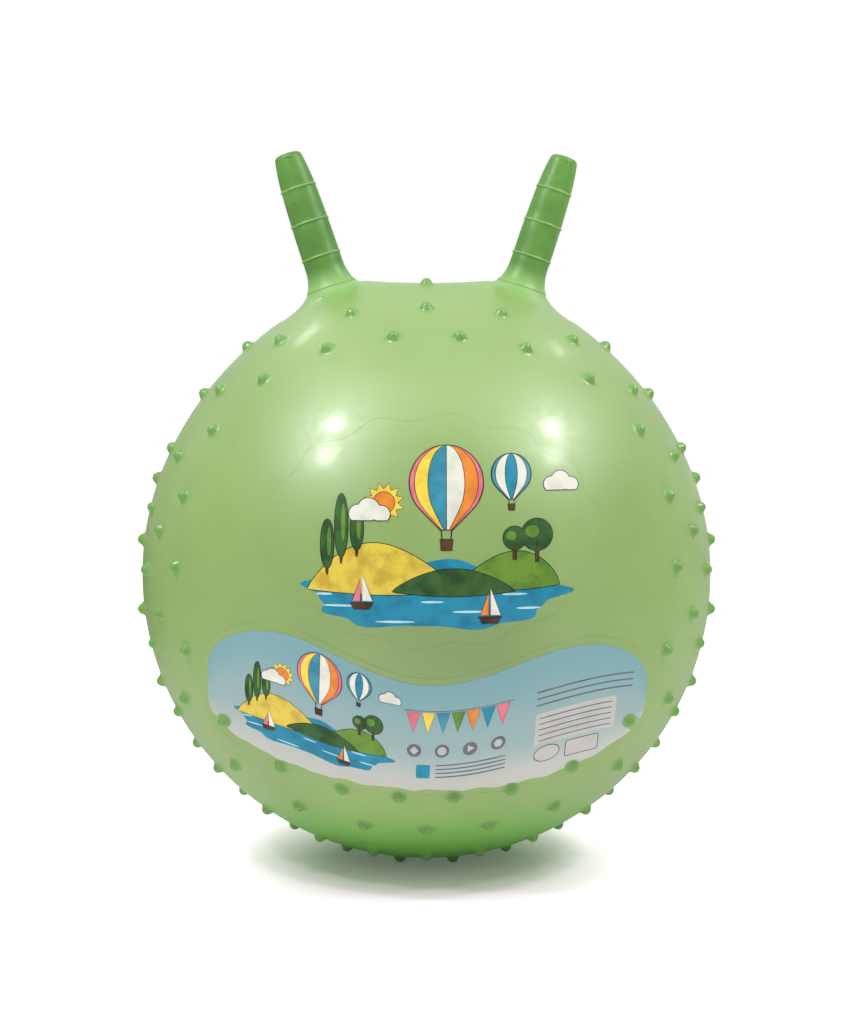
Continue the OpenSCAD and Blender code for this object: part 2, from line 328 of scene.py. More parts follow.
def pearl_pvc(name, nubbed):
    """Milky pearl PVC: mica swirls, a finer grain, a deeper, more saturated green towards the bottom that is
    painted shade and bounce light, and a thicker, greener skin on collars and on nubs.
    """
    material, tree, shader, place = blank_finish(name)
    swirl = ranged(tree, noise(tree, place, 7, 3), 0.35, 0.65)
    grain = ranged(tree, noise(tree, place, 420, 2), 0.3, 0.7, 0.0, 0.35)
    pearl = mixed(tree, grain, mixed(tree, swirl, pearl_light, pearl_deep), pearl_deep)
    level = tree.nodes.new("ShaderNodeSeparateXYZ")
    tree.links.new(place, level.inputs["Vector"])
    # Painted shade and bounce light: the green deepens and saturates towards the bottom of the ball.
    painted_underside = ranged(tree, level.outputs["Z"], painted_underside_top, painted_underside_low)
    pearl = mixed(tree, painted_underside, pearl, painted_underside_green)
    from_middle = reckoned(tree, "DISTANCE", place, ball_middle, kind="VectorMath")
    thick = ranged(tree, from_middle, ball_r + collar_start, ball_r + seam_h)
    green = mixed(tree, thick, pearl, collar_green)
    shader.inputs["Specular IOR Level"].default_value = nub_shine if nubbed else skin_shine
    shader.inputs["Coat Roughness"].default_value = nub_haze if nubbed else skin_haze
    if nubbed:
        tone = carried(tree, "nub_tone")
        green = mixed(tree, tone, green, nub_green)
        shine = ranged(tree, tone, 0, 1, skin_shine, nub_shine)
        haze = ranged(tree, tone, 0, 1, skin_haze, nub_haze)
        tree.links.new(shine, shader.inputs["Specular IOR Level"])
        tree.links.new(haze, shader.inputs["Coat Roughness"])
    tree.links.new(green, shader.inputs["Base Color"])
    rough = ranged(tree, noise(tree, place, 160, 3), 0.2, 0.8, 0.45, 0.53)
    tree.links.new(rough, shader.inputs["Roughness"])
    skin_grain = bumped(tree, noise(tree, place, 300, 2), 0.06, skin_grain_h)
    tree.links.new(skin_grain, shader.inputs["Normal"])
    shader.inputs["IOR"].default_value = 1.7
    shader.inputs["Coat Weight"].default_value = 0.24
    return material


moulding = pearl_pvc("pearl_green_pvc", False)
skin.data.materials.clear()
skin.data.materials.append(moulding)
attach(skin, "ball")
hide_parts("ball_shell")

# Nubs
# Soft rounded cones, moulded with the skin in four rows round a smooth window, in front and behind.
# They are thicker than the skin, so the green is deeper, and the floor presses the lowest ones flat.
nub_segments = 12
nub_halo_r = 7.2 * mm
nub_foot_r = 4.4 * mm
nub_rings = [(7.8, 0.02), (6.0, 0.2), (4.8, 1.3), (3.6, 3.4), (2.1, 4.85)]
nub_h = 5.4 * mm
nub_sunk = 0.6 * mm
row_counts = [22, 22, 28, 28]
row_half_steps = [1, 0, 0, 1]
row_up_angles = [48.5, 59.5, 75.5, 89]
row_side_angles = [55.5, 64, 72, 81]
row_squareness = 2.55
row_bunch = math.radians(5)
window_tilt = math.radians(6.5)
nub_horn_gap = 12 * mm
nub_parting_gap = 3 * mm
nub_half_w = 4.6 * mm

window_out = Vector((0, -math.cos(window_tilt), math.sin(window_tilt)))
window_up = Vector((0, math.sin(window_tilt), math.cos(window_tilt)))
flare_reach = flare_x * ball_r / (ball_r + flare_r)
horn_room = (flare_reach + nub_horn_gap + nub_half_w) / ball_r


def nub_direction(row, i):
    """Direction of one nub from the ball's middle, on a squared oval round the window."""
    clock = (i + row_half_steps[row] / 2) * 2 * math.pi / row_counts[row]
    if math.cos(clock) < 0:
        clock -= row_bunch * math.sin(2 * clock)
    up_share = (abs(math.cos(clock)) / math.radians(row_up_angles[row])) ** row_squareness
    side_share = (abs(math.sin(clock)) / math.radians(row_side_angles[row])) ** row_squareness
    angle = (up_share + side_share) ** (-1 / row_squareness)
    across = Vector((math.sin(clock), 0, 0)) + window_up * math.cos(clock)
    return window_out * math.cos(angle) + across * math.sin(angle)


def on_skin(radius, height):
    """(radius, height from the ball's middle) of a ring that lies a height above the skin."""
    return radius * mm, math.sqrt(ball_r ** 2 - (radius * mm) ** 2) + height * mm


def first_ring(name, segments, radius, spot, turn=(0, 0, 0)):
    """Adds the first ring of a round piece and leaves it selected in edit mode."""
    bpy.ops.object.select_all(action="DESELECT")
    bpy.ops.mesh.primitive_circle_add(vertices=segments, radius=radius, location=spot, rotation=turn)
    piece = bpy.context.object
    piece.name = name
    bpy.ops.object.transform_apply()
    bpy.ops.object.mode_set(mode="EDIT")
    bpy.ops.mesh.select_mode(type="EDGE")
    bpy.ops.mesh.select_all(action="SELECT")
    return piece


def close_end(rise=(0, 0, 0)):
    """Draws the selected ring in to one point, turns all faces outwards and leaves edit mode."""
    bpy.ops.mesh.extrude_region_move(TRANSFORM_OT_translate={"value": rise})
    bpy.ops.mesh.merge(type="CENTER")
    bpy.ops.mesh.select_all(action="SELECT")
    bpy.ops.mesh.normals_make_consistent(inside=False)
    bpy.ops.object.mode_set(mode="OBJECT")


skirt_r, skirt_z = on_skin(*nub_rings[0])
nub = first_ring("nub", nub_segments, skirt_r, (0, 0, skirt_z - nub_sunk))
bpy.ops.mesh.edge_face_add()
bpy.ops.mesh.flip_normals()
bpy.ops.mesh.select_all(action="SELECT")
bpy.ops.mesh.select_non_manifold()
extrude_rings(
    (skirt_r, skirt_z - nub_sunk), [on_skin(*ring) for ring in nub_rings], Vector(), Vector((0, 0, 1))
)
close_end((0, 0, ball_r + nub_h - on_skin(*nub_rings[-1])[1]))
bpy.ops.object.shade_smooth_by_angle(angle=math.radians(60))
tone = nub.data.attributes.new("nub_tone", "FLOAT", "POINT")
for vertex, value in zip(nub.data.vertices, tone.data):
    out = math.hypot(vertex.co.x, vertex.co.y)
    value.value = min(max((nub_halo_r - out) / (nub_halo_r - nub_foot_r), 0), 1)

directions = []
for row, count in enumerate(row_counts):
    for i in range(count):
        front = nub_direction(row, i)
        near_horn = min(front.angle(horn_axis_left), front.angle(horn_axis_right)) < horn_room
        if not near_horn and -front.y * ball_r > nub_parting_gap + nub_half_w:
            directions += [front, Vector((front.x, -front.y, front.z))]
copies = []
for direction in directions:
    copy = nub.copy()
    copy.data = nub.data.copy()
    turn = direction.to_track_quat("Z", "Y").to_matrix().to_4x4()
    copy.data.transform(Matrix.Translation(ball_middle) @ turn)
    for vertex in copy.data.vertices:
        vertex.co += skin_rise(ball_middle + (vertex.co - ball_middle).normalized() * ball_r)
    bpy.context.collection.objects.link(copy)
    copies.append(copy)
bpy.data.objects.remove(nub)


def joined(pieces, name):
    """Joins pieces into the first one and names it."""
    pick(*pieces)
    bpy.ops.object.join()
    pieces[0].name = name
    return pieces[0]


nubs = joined(copies, "nubs")
for vertex in nubs.data.vertices:
    vertex.co.z = max(vertex.co.z, 0)
nubs.data.materials.clear()
nubs.data.materials.append(pearl_pvc("pearl_green_nubs", True))
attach(nubs, "ball")

# Horns
# Two hollow grips of the same PVC, moulded thicker and without pearl, so they are a deeper satin green.
# Each has a seam at its foot, three bead rings, and a worn, rounded tip.
horn_segments = 72
horn_l = 122 * mm
horn_wall = 2.4 * mm
ring_h = 39 * mm
ring_count = 3
barrel_r = 1100 * mm
nose_r = 180 * mm
tip_edge_r = 4 * mm
tip_crown = 0.8 * mm
tip_steps = 6
horn_stretch = {"left": 1.024, "right": 1.0}
bead_profile = [
    (0, -1.7), (-0.15, -1.2), (0.1, -0.85), (0.7, -0.5), (0.85, 0), (0.6, 0.5), (0.15, 0.9), (0, 1.4)
]
seam_profile = [(0.0, 0.02), (0.08, 0.4), (0.05, 0.9), (-0.25, 1.5), (-0.9, 2.3)]
# Painted light: the right horn's tones are lighter than the left's, standing in for more light falling on
# it; both horns are the same moulding.
horn_lit_and_shaded_tones = {
    "left": ((0.080, 0.222, 0.030, 1), (0.104, 0.264, 0.042, 1)),
    "right": ((0.092, 0.247, 0.035, 1), (0.121, 0.301, 0.048, 1)),
}
horn_foot_green = (0.235, 0.455, 0.125, 1)
# Painted highlight: the pale band on each bead ring, where light catches its rounded top.
bead_highlight_green = (0.22, 0.44, 0.12, 1)
grime = (0.07, 0.075, 0.03, 1)
foot_fade = 21 * mm
bead_highlight_band = 0.5 * mm
bead_highlight_fade = 1.2 * mm
bead_highlight_strength = 0.65
grime_start = 9 * mm
grime_full = 1 * mm
horn_grain_h = 0.15 * mm

tip_z = ball_r + horn_l
ring_z = ball_r + ring_h
ring_step = (horn_l - ring_h) / ring_count
top_ring_z = tip_z - ring_step


def barrel_radius(z):
    """Radius of the slightly barrelled grip at a height."""
    return horn_r - barrel_r + math.sqrt(barrel_r ** 2 - (z - ring_z) ** 2)


nose_share = nose_r / barrel_r
top_ring_r = barrel_radius(top_ring_z)
nose_x = top_ring_r + (horn_r - barrel_r - top_ring_r) * nose_share
nose_z = top_ring_z + (ring_z - top_ring_z) * nose_share
edge_z = tip_z - tip_edge_r
edge_x = nose_x + math.sqrt((nose_r - tip_edge_r) ** 2 - (edge_z - nose_z) ** 2)
edge_turn = math.atan2(edge_z - nose_z, edge_x - nose_x)

horn_rings = [(seam_r + out * mm, seam_z + up * mm) for out, up in seam_profile]
horn_rings += [flare_ring(seam_turn * (1 - i / flare_steps)) for i in range(2, flare_steps + 1)]
for i in range(ring_count):
    z = ring_z + i * ring_step
    horn_rings += [(barrel_radius(z + up * mm) + out * mm, z + up * mm) for out, up in bead_profile]
    if i < ring_count - 1:
        heights = [z + ring_step * share for share in (0.3, 0.5, 0.7)]
        horn_rings += [(barrel_radius(height), height) for height in heights]
nose_start = math.atan2(top_ring_z - nose_z, top_ring_r - nose_x)
for i in range(1, tip_steps + 1):
    turn = nose_start + (edge_turn - nose_start) * i / tip_steps
    if nose_z + nose_r * math.sin(turn) > horn_rings[-1][1]:
        horn_rings.append((nose_x + nose_r * math.cos(turn), nose_z + nose_r * math.sin(turn)))
for i in range(1, tip_steps + 1):
    turn = edge_turn + (math.pi / 2 - edge_turn) * i / tip_steps
    horn_rings.append((edge_x + tip_edge_r * math.cos(turn), edge_z + tip_edge_r * math.sin(turn)))
horn_rings += [(edge_x * 0.6, tip_z + tip_crown * 0.65), (edge_x * 0.25, tip_z + tip_crown)]


def satin_pvc(name, stretch, tones):
    """Satin green PVC of a horn: mottled, paler at its foot, with a painted highlight along each bead and
    grime worn into the tip.
    """
    material, tree, shader, place = blank_finish(name)
    height = carried(tree, "horn_rise")
    mottle = ranged(tree, noise(tree, place, 55, 4), 0.3, 0.7)
    green = mixed(tree, mottle, *tones)
    foot = ranged(tree, height, seam_z + foot_fade, seam_z)
    green = mixed(tree, foot, green, horn_foot_green)
    # Painted highlight: the green pales in a band along each bead ring.
    below_tip = reckoned(tree, "MINIMUM", height, tip_z - tip_edge_r)
    above_ring = reckoned(tree, "SUBTRACT", below_tip, seam_z + (ring_z - seam_z) * stretch)
    from_bead = reckoned(tree, "PINGPONG", above_ring, ring_step * stretch / 2)
    bead_highlight = ranged(tree, from_bead, bead_highlight_fade, bead_highlight_band, 0.0, bead_highlight_strength)
    green = mixed(tree, bead_highlight, green, bead_highlight_green)
    specks = ranged(tree, noise(tree, place, 330, 3), 0.60, 0.70)
    tip = ranged(tree, height, tip_z - grime_start, tip_z - grime_full, 0.0, 0.75)
    green = mixed(tree, reckoned(tree, "MULTIPLY", specks, tip), green, grime)
    stray = ranged(tree, noise(tree, place, 120, 1), 0.76, 0.78, 0.0, 0.3)
    tree.links.new(mixed(tree, stray, green, grime), shader.inputs["Base Color"])
    rough = ranged(tree, noise(tree, place, 240, 3), 0.25, 0.75, 0.40, 0.52)
    tree.links.new(rough, shader.inputs["Roughness"])
    horn_grain = bumped(tree, noise(tree, place, 700, 2), 0.12, horn_grain_h)
    tree.links.new(horn_grain, shader.inputs["Normal"])
    shader.inputs["Specular IOR Level"].default_value = 0.6
    return material


for side, axis in (("left", horn_axis_left), ("right", horn_axis_right)):
    lean = (0, math.atan2(axis.x, axis.z), 0)
    horn = first_ring("horn_" + side, horn_segments, seam_r, ball_middle + axis * seam_z, lean)
    rings = [(out, seam_z + (up - seam_z) * horn_stretch[side]) for out, up in horn_rings]
    extrude_rings((seam_r, seam_z), rings, ball_middle, axis)
    close_end()
    apply_modifier(horn, "SOLIDIFY", thickness=horn_wall, offset=-1)
    rise = horn.data.attributes.new("horn_rise", "FLOAT", "POINT")
    for vertex, value in zip(horn.data.vertices, rise.data):
        value.value = (vertex.co - ball_middle).dot(axis)
    bpy.ops.object.shade_smooth_by_angle(angle=math.radians(50))
    horn.data.materials.append(satin_pvc("satin_green_pvc_" + side, horn_stretch[side], horn_lit_and_shaded_tones[side]))
    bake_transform(horn)
    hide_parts("horn_root_" + side, "horn_grip_" + side)

# Valve seat
# A small socket of PVC, welded into the skin at the back. Its flange lies under the skin, a soft weld
# runs round its rim, and the plug's head sinks into its recess.
seat_segments = 64
seat_profile = [
    (8.4, -14.0), (8.55, -13.6), (8.55, -3.9), (17.6, -3.9), (18.0, -3.5), (18.0, -2.2),
    (17.6, -1.9), (8.6, -1.2), (8.5, -0.4), (12.6, -0.4), (12.7, -0.3), (10.8, -0.1),
    (9.6, 0.35), (8.9, 0.9), (8.5, 1.15), (8.1, 1.25), (7.1, 1.25), (6.75, 1.1),
    (6.6, 0.8), (6.55, -0.7), (6.4, -0.85), (4.3, -0.85), (4.08, -1.1), (3.6, -14.0)
]
seat_tones = ((0.24, 0.40, 0.105, 1), (0.21, 0.36, 0.085, 1))
plastic_grain_h = 0.1 * mm
valve_axis = Vector((0, 1, 0))
valve_turn = (-math.pi / 2, 0, 0)


def soft_plastic(name, tones, gloss):
    """Plain moulded plastic of two close tones, with a fine grain."""
    material, tree, shader, place = blank_finish(name)
    blot = ranged(tree, noise(tree, place, 180, 3), 0.3, 0.7)
    tree.links.new(mixed(tree, blot, *tones), shader.inputs["Base Color"])
    rough = ranged(tree, noise(tree, place, 500, 2), 0.25, 0.75, gloss, gloss + 0.12)
    tree.links.new(rough, shader.inputs["Roughness"])
    plastic_grain = bumped(tree, noise(tree, place, 900, 2), 0.1, plastic_grain_h)
    tree.links.new(plastic_grain, shader.inputs["Normal"])
    return material


seat_rings = [(out * mm, ball_r + up * mm) for out, up in seat_profile]
seat_r, seat_y = seat_rings[-1]
seat = first_ring("valve_seat_piece", seat_segments, seat_r, ball_middle + valve_axis * seat_y, valve_turn)
extrude_rings(seat_rings[-1], seat_rings, ball_middle, valve_axis)
bpy.ops.mesh.select_all(action="SELECT")
bpy.ops.mesh.remove_doubles(threshold=weld_gap)
bpy.ops.mesh.normals_make_consistent(inside=False)
bpy.ops.object.mode_set(mode="OBJECT")
bpy.ops.object.shade_smooth_by_angle(angle=math.radians(35))
seat.data.materials.append(soft_plastic("seat_green_pvc", seat_tones, 0.3))
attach(seat, "ball")
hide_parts("valve_seat")

# Valve plug
# A white stopper of harder plastic with a tapered stem. It is pushed into the seat and pulled out by
# a nail in the notch under its dished head.
plug_segments = 64
plug_profile = [
    (2.9, -14.8), (3.3, -14.75), (3.5, -14.5), (3.95, -1.2), (4.05, -0.78), (6.1, -0.78),
    (6.4, -0.65), (6.5, -0.4), (6.5, 0.8), (6.35, 1.1), (6.0, 1.2), (4.9, 1.2),
    (4.5, 1.1), (4.1, 0.85), (2.0, 0.75), (0.6, 0.75)
]
plug_tones = ((0.82, 0.81, 0.76, 1), (0.76, 0.75, 0.69, 1))
notch_segments = 40
notch_r = 2.5 * mm
notch_deep = 1.4 * mm
notch_l = 20 * mm
notch_foot = -0.4 * mm

plug_rings = [(out * mm, ball_r + up * mm) for out, up in plug_profile]
plug_r, plug_y = plug_rings[0]
plug = first_ring("valve_plug_piece", plug_segments, plug_r, ball_middle + valve_axis * plug_y, valve_turn)
bpy.ops.mesh.edge_face_add()
bpy.ops.mesh.select_all(action="SELECT")
bpy.ops.mesh.select_non_manifold()
extrude_rings(plug_rings[0], plug_rings[1:], ball_middle, valve_axis)
close_end()
head_r = max(out for out, up in plug_rings)
notch_y = ball_r + notch_foot + notch_l / 2
bpy.ops.mesh.primitive_cylinder_add(
    vertices=notch_segments, radius=notch_r, depth=notch_l, rotation=(math.pi / 2, 0, 0),
    location=ball_middle + Vector((0, notch_y, -head_r - notch_r + notch_deep))
)
cut_away(plug, bpy.context.object)
bpy.ops.object.shade_smooth_by_angle(angle=math.radians(35))
plug.data.materials.append(soft_plastic("plug_white", plug_tones, 0.28))
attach(plug, "plug")
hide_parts("valve_plug")

# Print film
# A clear film with a printed picture, glued to the upper front. Only its scalloped edge shows.
# The picture is a made-up view of a lake with hot-air balloons, in flat inks with thin dark lines.
print_half_w = 119 * mm
print_half_h = 80 * mm
print_up = 46 * mm
film_shift = 4 * mm
scallop_h = 3 * mm
scallop_count = 14
print_top = 0.2 * mm
print_t = 0.1 * mm
film_edge_r = 0.16 * mm
film_segments = 224
film_rings = 24


def lay_on_ball(piece, place, lift, thick):
    """Presses a flat piece onto the front of the ball, gives it a thickness and rounds its shading."""
    for vertex in piece.data.vertices:
        x, z = place(vertex.co.x, vertex.co.y)
        radius = ball_r + lift + vertex.co.z
        vertex.co = ball_middle + Vector((x, -math.sqrt(radius ** 2 - x * x - z * z), z))
    apply_modifier(piece, "SOLIDIFY", thickness=thick, offset=-1)
    pick(piece)
    bpy.ops.object.shade_smooth()
    normals = [Vector()] * len(piece.data.loops)
    for face in piece.data.polygons:
        for corner in face.loop_indices:
            away = (piece.data.vertices[piece.data.loops[corner].vertex_index].co - ball_middle).normalized()
            facing = face.normal.dot(away)
            normals[corner] = away * math.copysign(1, facing) if abs(facing) > 0.5 else face.normal
    piece.data.normals_split_custom_set(normals)


def film_edge(outline, place, lift, material):
    """Adds the fine rounded edge of a film, along its flat outline."""
    curve = bpy.data.curves.new("film_edge", "CURVE")
    curve.dimensions = "3D"
    curve.bevel_depth = film_edge_r
    curve.bevel_resolution = 1
    line = curve.splines.new("POLY")
    line.points.add(len(outline) - 1)
    line.use_cyclic_u = True
    for point, spot in zip(line.points, outline):
        x, z = place(*spot)
        radius = ball_r + lift
        point.co = (*(ball_middle + Vector((x, -math.sqrt(radius ** 2 - x * x - z * z), z))), 1)
    edge = bpy.data.objects.new("film_edge", curve)
    bpy.context.collection.objects.link(edge)
    pick(edge)
    bpy.ops.object.convert(target="MESH")
    edge.data.materials.append(material)
    return edge


def print_place(across, up):
    """Place on the ball, seen from the front, of a point of the print film."""
    return across + film_shift, up + print_up


def print_edge(turn, share):
    """Point of the print film, at a turn and a share of the way out to its scalloped edge."""
    wave = scallop_h * math.sin(scallop_count * turn)
    return (print_half_w + wave) * math.cos(turn) * share, (print_half_h + wave) * math.sin(turn) * share


print_film = first_ring("print_film_piece", film_segments, 1, (0, 0, 0))
extrude_rings((1, 0), [(1 - i / film_rings, 0) for i in range(1, film_rings)], Vector(), Vector((0, 0, 1)))
bpy.ops.mesh.extrude_region_move(TRANSFORM_OT_translate={"value": (0, 0, 0)})
bpy.ops.mesh.merge(type="CENTER")
bpy.ops.object.mode_set(mode="OBJECT")
for vertex in print_film.data.vertices:
    across, up = print_edge(math.atan2(vertex.co.y, vertex.co.x), vertex.co.length)
    vertex.co = (across, up, 0)
lay_on_ball(print_film, print_place, print_top, print_t)
print_film.data.materials.append(moulding)
outline = [print_edge(i * 2 * math.pi / film_segments, 1) for i in range(film_segments)]
edge = film_edge(outline, print_place, print_top - film_edge_r / 2, moulding)
joined([print_film, edge], "print_film_piece")
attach(print_film, "ball")
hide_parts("print_film")

ink_step = 0.04 * mm
ink_t = 0.02 * mm
cell = 5 * mm
line_w = 0.55
ink_tones = {
    "line": ((0.030, 0.024, 0.014), (0.018, 0.014, 0.010)),
    "lake": ((0.006, 0.235, 0.350), (0.003, 0.170, 0.270)),
    "foam": ((0.420, 0.640, 0.660), (0.300, 0.540, 0.580)),
    "ochre": ((0.640, 0.520, 0.055), (0.470, 0.330, 0.030)),
    "leaf": ((0.040, 0.130, 0.028), (0.020, 0.070, 0.018)),
    "meadow": ((0.130, 0.270, 0.025), (0.080, 0.190, 0.020)),
    "wood": ((0.100, 0.045, 0.018), (0.055, 0.025, 0.012)),
    "pink": ((0.680, 0.170, 0.220), (0.580, 0.120, 0.170)),
    "orange": ((0.720, 0.240, 0.025), (0.600, 0.170, 0.018)),
    "yellow": ((0.760, 0.600, 0.060), (0.650, 0.460, 0.040)),
    "blue": ((0.040, 0.270, 0.360), (0.025, 0.200, 0.290)),
    "white": ((0.680, 0.690, 0.580), (0.560, 0.590, 0.490)),
    "grey": ((0.120, 0.150, 0.160), (0.090, 0.115, 0.125)),
    "paper": ((0.430, 0.440, 0.400), (0.390, 0.400, 0.365)),
}


def printed_ink(name, colour, deep):
    """Printed ink on film: a colour with soft watercolour clouds of a deeper tone, under a gloss."""
    material, tree, shader, place = blank_finish("ink_" + name)
    blot = ranged(tree, noise(tree, place, 75, 4), 0.42, 0.66)
    grain = ranged(tree, noise(tree, place, 900, 2), 0.3, 0.7, 0.0, 0.25)
    tone = mixed(tree, blot, (*colour, 1), (*deep, 1))
    tree.links.new(mixed(tree, grain, tone, (*deep, 1)), shader.inputs["Base Color"])
    shader.inputs["Roughness"].default_value = 0.42
    shader.inputs["Specular IOR Level"].default_value = 0.4
    shader.inputs["Coat Weight"].default_value = 0.2
    shader.inputs["Coat Roughness"].default_value = 0.13
    return material


inks = {name: printed_ink(name, *tones) for name, tones in ink_tones.items()}


def flat_shape(shapes, outline, ink, layer):
    """Adds one flat printed shape to a list, from its outline in millimetres."""
    turn_sum = sum(x0 * y1 - x1 * y0 for (x0, y0), (x1, y1) in zip(outline, outline[1:] + outline[:1]))
    bpy.ops.mesh.primitive_circle_add(vertices=len(outline), radius=mm, fill_type="NGON")
    shape = bpy.context.object
    for vertex, (across, up) in zip(shape.data.vertices, outline if turn_sum > 0 else outline[::-1]):
        vertex.co = (across * mm, up * mm, layer * ink_step)
    shape.data.materials.append(inks[ink])
    shapes.append(shape)


def grown(outline, by):
    """An anticlockwise outline moved outwards."""
    moved = []
    for i, (across, up) in enumerate(outline):
        along = Vector(outline[(i + 1) % len(outline)]) - Vector(outline[i - 1])
        along.normalize()
        moved.append((across + along.y * by, up - along.x * by))
    return moved


def inked(shapes, outline, ink, layer, width=line_w):
    """Adds a shape with a dark line round it."""
    flat_shape(shapes, grown(outline, width), "line", layer)
    flat_shape(shapes, outline, ink, layer + 1)


def oval(across, up, half_w, half_h, steps=36):
    """Outline of an oval."""
    turns = [i * 2 * math.pi / steps for i in range(steps)]
    return [(across + half_w * math.cos(turn), up + half_h * math.sin(turn)) for turn in turns]


def bank(left, right, foot, crown, lean, steps=40):
    """Outline of a hill: a flat foot and a rounded top that leans to one side."""
    shares = [i / steps for i in range(steps + 1)]
    humps = [math.sin(math.pi * s ** lean) ** 0.8 for s in shares]
    top = [(right + (left - right) * s, foot + (crown - foot) * hump) for s, hump in zip(shares, humps)]
    return top + [(left + (right - left) * s, foot - 3 * math.sin(math.pi * s)) for s in shares[1:-1]]


def cloud(across, up, size):
    """Outline of a cloud: three puffs over a flat foot."""
    puffs = [(-0.55, 0.02, 0.42), (-0.05, 0.22, 0.52), (0.55, 0.0, 0.40)]
    points = []
    for i in range(72):
        turn = i * math.pi / 36
        aim = Vector((math.cos(turn), math.sin(turn)))
        reach = 0.1
        for x, y, r in puffs:
            middle = Vector((x, y))
            square = aim.dot(middle) ** 2 - middle.length_squared + r * r
            if square > 0:
                reach = max(reach, aim.dot(middle) + math.sqrt(square))
        points.append((across + size * reach * aim.x, up + size * max(reach * aim.y, -0.28)))
    return points


def balloon(shapes, across, up, r, gores, layer):
    """Adds a hot-air balloon: coloured gores, a basket and two ropes."""
    skirt = 1.25
    ends = math.sqrt(0.5)

    def half_w(height):
        return math.sqrt(1 - height * height) if height > -ends else ends - (-ends - height)

    heights = [-skirt + (1 + skirt) * (0.5 - 0.5 * math.cos(math.pi * i / 28)) for i in range(29)]
    right = [(across + r * half_w(h), up + r * h) for h in heights]
    left = [(across - r * half_w(h), up + r * h) for h in heights[-2::-1]]
    for side in (-1, 1):
        rope = [(0.13, -skirt), (0.16, -skirt), (0.13, -1.55), (0.10, -1.55)]
        flat_shape(shapes, [(across + side * r * x, up + r * y) for x, y in rope], "line", layer)
    basket = [(-0.14, -1.8), (0.14, -1.8), (0.17, -1.52), (-0.17, -1.52)]
    inked(shapes, [(across + r * x, up + r * y) for x, y in basket], "wood", layer)
    flat_shape(shapes, grown(right + left, line_w), "line", layer)
    seams = [math.sin(math.pi * (i / len(gores) - 0.5)) for i in range(len(gores) + 1)]
    gap = 0.5 * line_w / r
    for ink, start, end in zip(gores, seams, seams[1:]):
        inner = [h for h in heights if half_w(h) * (end - start) > 2.4 * gap]
        rise = [(across + r * (half_w(h) * end - gap), up + r * h) for h in inner]
        fall = [(across + r * (half_w(h) * start + gap), up + r * h) for h in inner[::-1]]
        flat_shape(shapes, rise + fall, ink, layer + 1)


waves = [(-62, -6, 11), (-22, -17, 14), (30, -10, 12), (62, 2, 9), (72, -8, 9), (-72, 2, 6), (4, -3, 8)]
cypresses = [(-70, 20, 34), (-60, 28, 44), (-49, 33, 30)]
round_trees = [(62, 30, 8), (78, 28, 11)]
boats = [(-46, -4, "pink"), (44, -14, "orange")]
sun_spot = (-30, 66)


def lake_view(shapes):
    """Adds the whole picture: a lake, hills, trees, boats, clouds, the sun and two balloons."""
    shore = []
    for i in range(120):
        t = i * 2 * math.pi / 120
        reach = 1 + 0.07 * math.sin(5 * t + 0.4) + 0.045 * math.sin(9 * t + 1) + 0.03 * math.sin(14 * t)
        shore.append((6 + 88 * reach * math.cos(t), 1 + 23 * reach * math.sin(t)))
    flat_shape(shapes, shore, "lake", 0)
    for across, up, half in waves:
        flat_shape(shapes, oval(across, up, half, 0.8, 20), "foam", 1)
    inked(shapes, bank(-84, 26, 5, 38, 1.25), "ochre", 1)
    inked(shapes, bank(22, 94, 8, 32, 0.8), "meadow", 1)
    inked(shapes, bank(-24, 62, 4, 20, 1.0), "leaf", 3)
    for across, foot, height in cypresses:
        flat_shape(shapes, oval(across, foot, 1.2, 5, 12), "wood", 4)
        inked(shapes, oval(across, foot + height / 2, 4.6, height / 2), "leaf", 4)
        flat_shape(shapes, oval(across + 1.4, foot + height * 0.55, 1.5, height * 0.3, 16), "meadow", 6)
    for across, foot, r in round_trees:
        trunk = [(-1, -4), (1, -4), (1, r), (-1, r)]
        inked(shapes, [(across + x, foot + y) for x, y in trunk], "wood", 4)
        inked(shapes, oval(across, foot + r * 1.4, r, r), "leaf", 4)
        flat_shape(shapes, oval(across - r * 0.3, foot + r * 1.6, r * 0.45, r * 0.4, 20), "meadow", 6)
    for across, up, ink in boats:
        hull = [(-8, 0), (-5, -4), (6, -4), (9, 0)]
        jib = [(-6, 1.5), (-0.5, 1.5), (-0.5, 17)]
        mainsail = [(1, 1.5), (8, 1.5), (1, 20)]
        for points, part_ink in ((hull, "wood"), (jib, ink), (mainsail, "white")):
            inked(shapes, [(across + x, up + y) for x, y in points], part_ink, 4)
    sun_x, sun_y = sun_spot
    rays = [(14 if i % 2 else 9.5, i * math.pi / 12) for i in range(24)]
    inked(shapes, [(sun_x + r * math.cos(t), sun_y + r * math.sin(t)) for r, t in rays], "yellow", 1)
    inked(shapes, oval(sun_x, sun_y, 7.5, 7.5), "orange", 3, 0.4)
    inked(shapes, cloud(-40, 58, 15), "white", 7)
    inked(shapes, cloud(96, 78, 13), "white", 5)
    balloon(shapes, 14, 80, 26, ["pink", "yellow", "blue", "white", "orange", "pink"], 6)
    balloon(shapes, 60, 86, 14, ["blue", "white", "lake", "white", "blue"], 6)


def as_drawn(across, up):
    """Place on the ball of a point that is drawn as seen from the front."""
    return across, up


